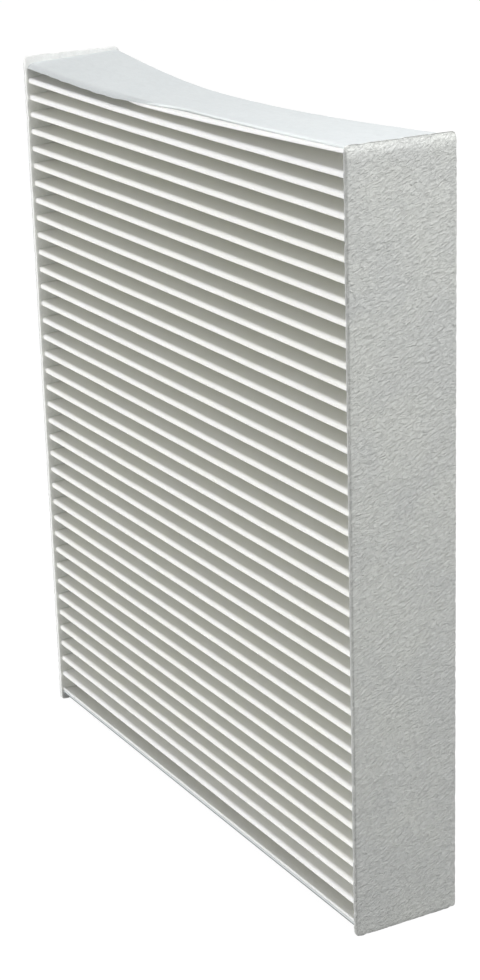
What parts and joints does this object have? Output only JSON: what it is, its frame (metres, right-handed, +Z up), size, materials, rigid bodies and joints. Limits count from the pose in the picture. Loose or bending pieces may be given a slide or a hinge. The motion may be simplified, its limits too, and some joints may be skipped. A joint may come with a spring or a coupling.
{
  "type": "cabin air filter",
  "caption": "Pleated nonwoven cabin air filter panel: one folded sheet between felt side bands, with a sagging felt strip along the top and a flat one below.",
  "frame": {"origin": "centre of the underside, on the surface that the filter stands on", "axes": "+X across the filter from the left side band to the right one, +Y from the inlet side to the outlet side, +Z up the stack of pleats"},
  "size_m": [0.202, 0.035, 0.2323],
  "materials": {
    "filter_sheet": "matt cream-white nonwoven filter sheet",
    "side_felt": "matt pale grey needled felt with fine bonded creases",
    "strip_felt": "matt pale bluish felt, smoother than the sides"
  },
  "bodies": {
    "root": {"pleated_sheet": "filter_sheet", "left_side_band": "side_felt", "right_side_band": "side_felt", "top_strip": "strip_felt", "bottom_strip": "strip_felt"}
  },
  "joints": []
}
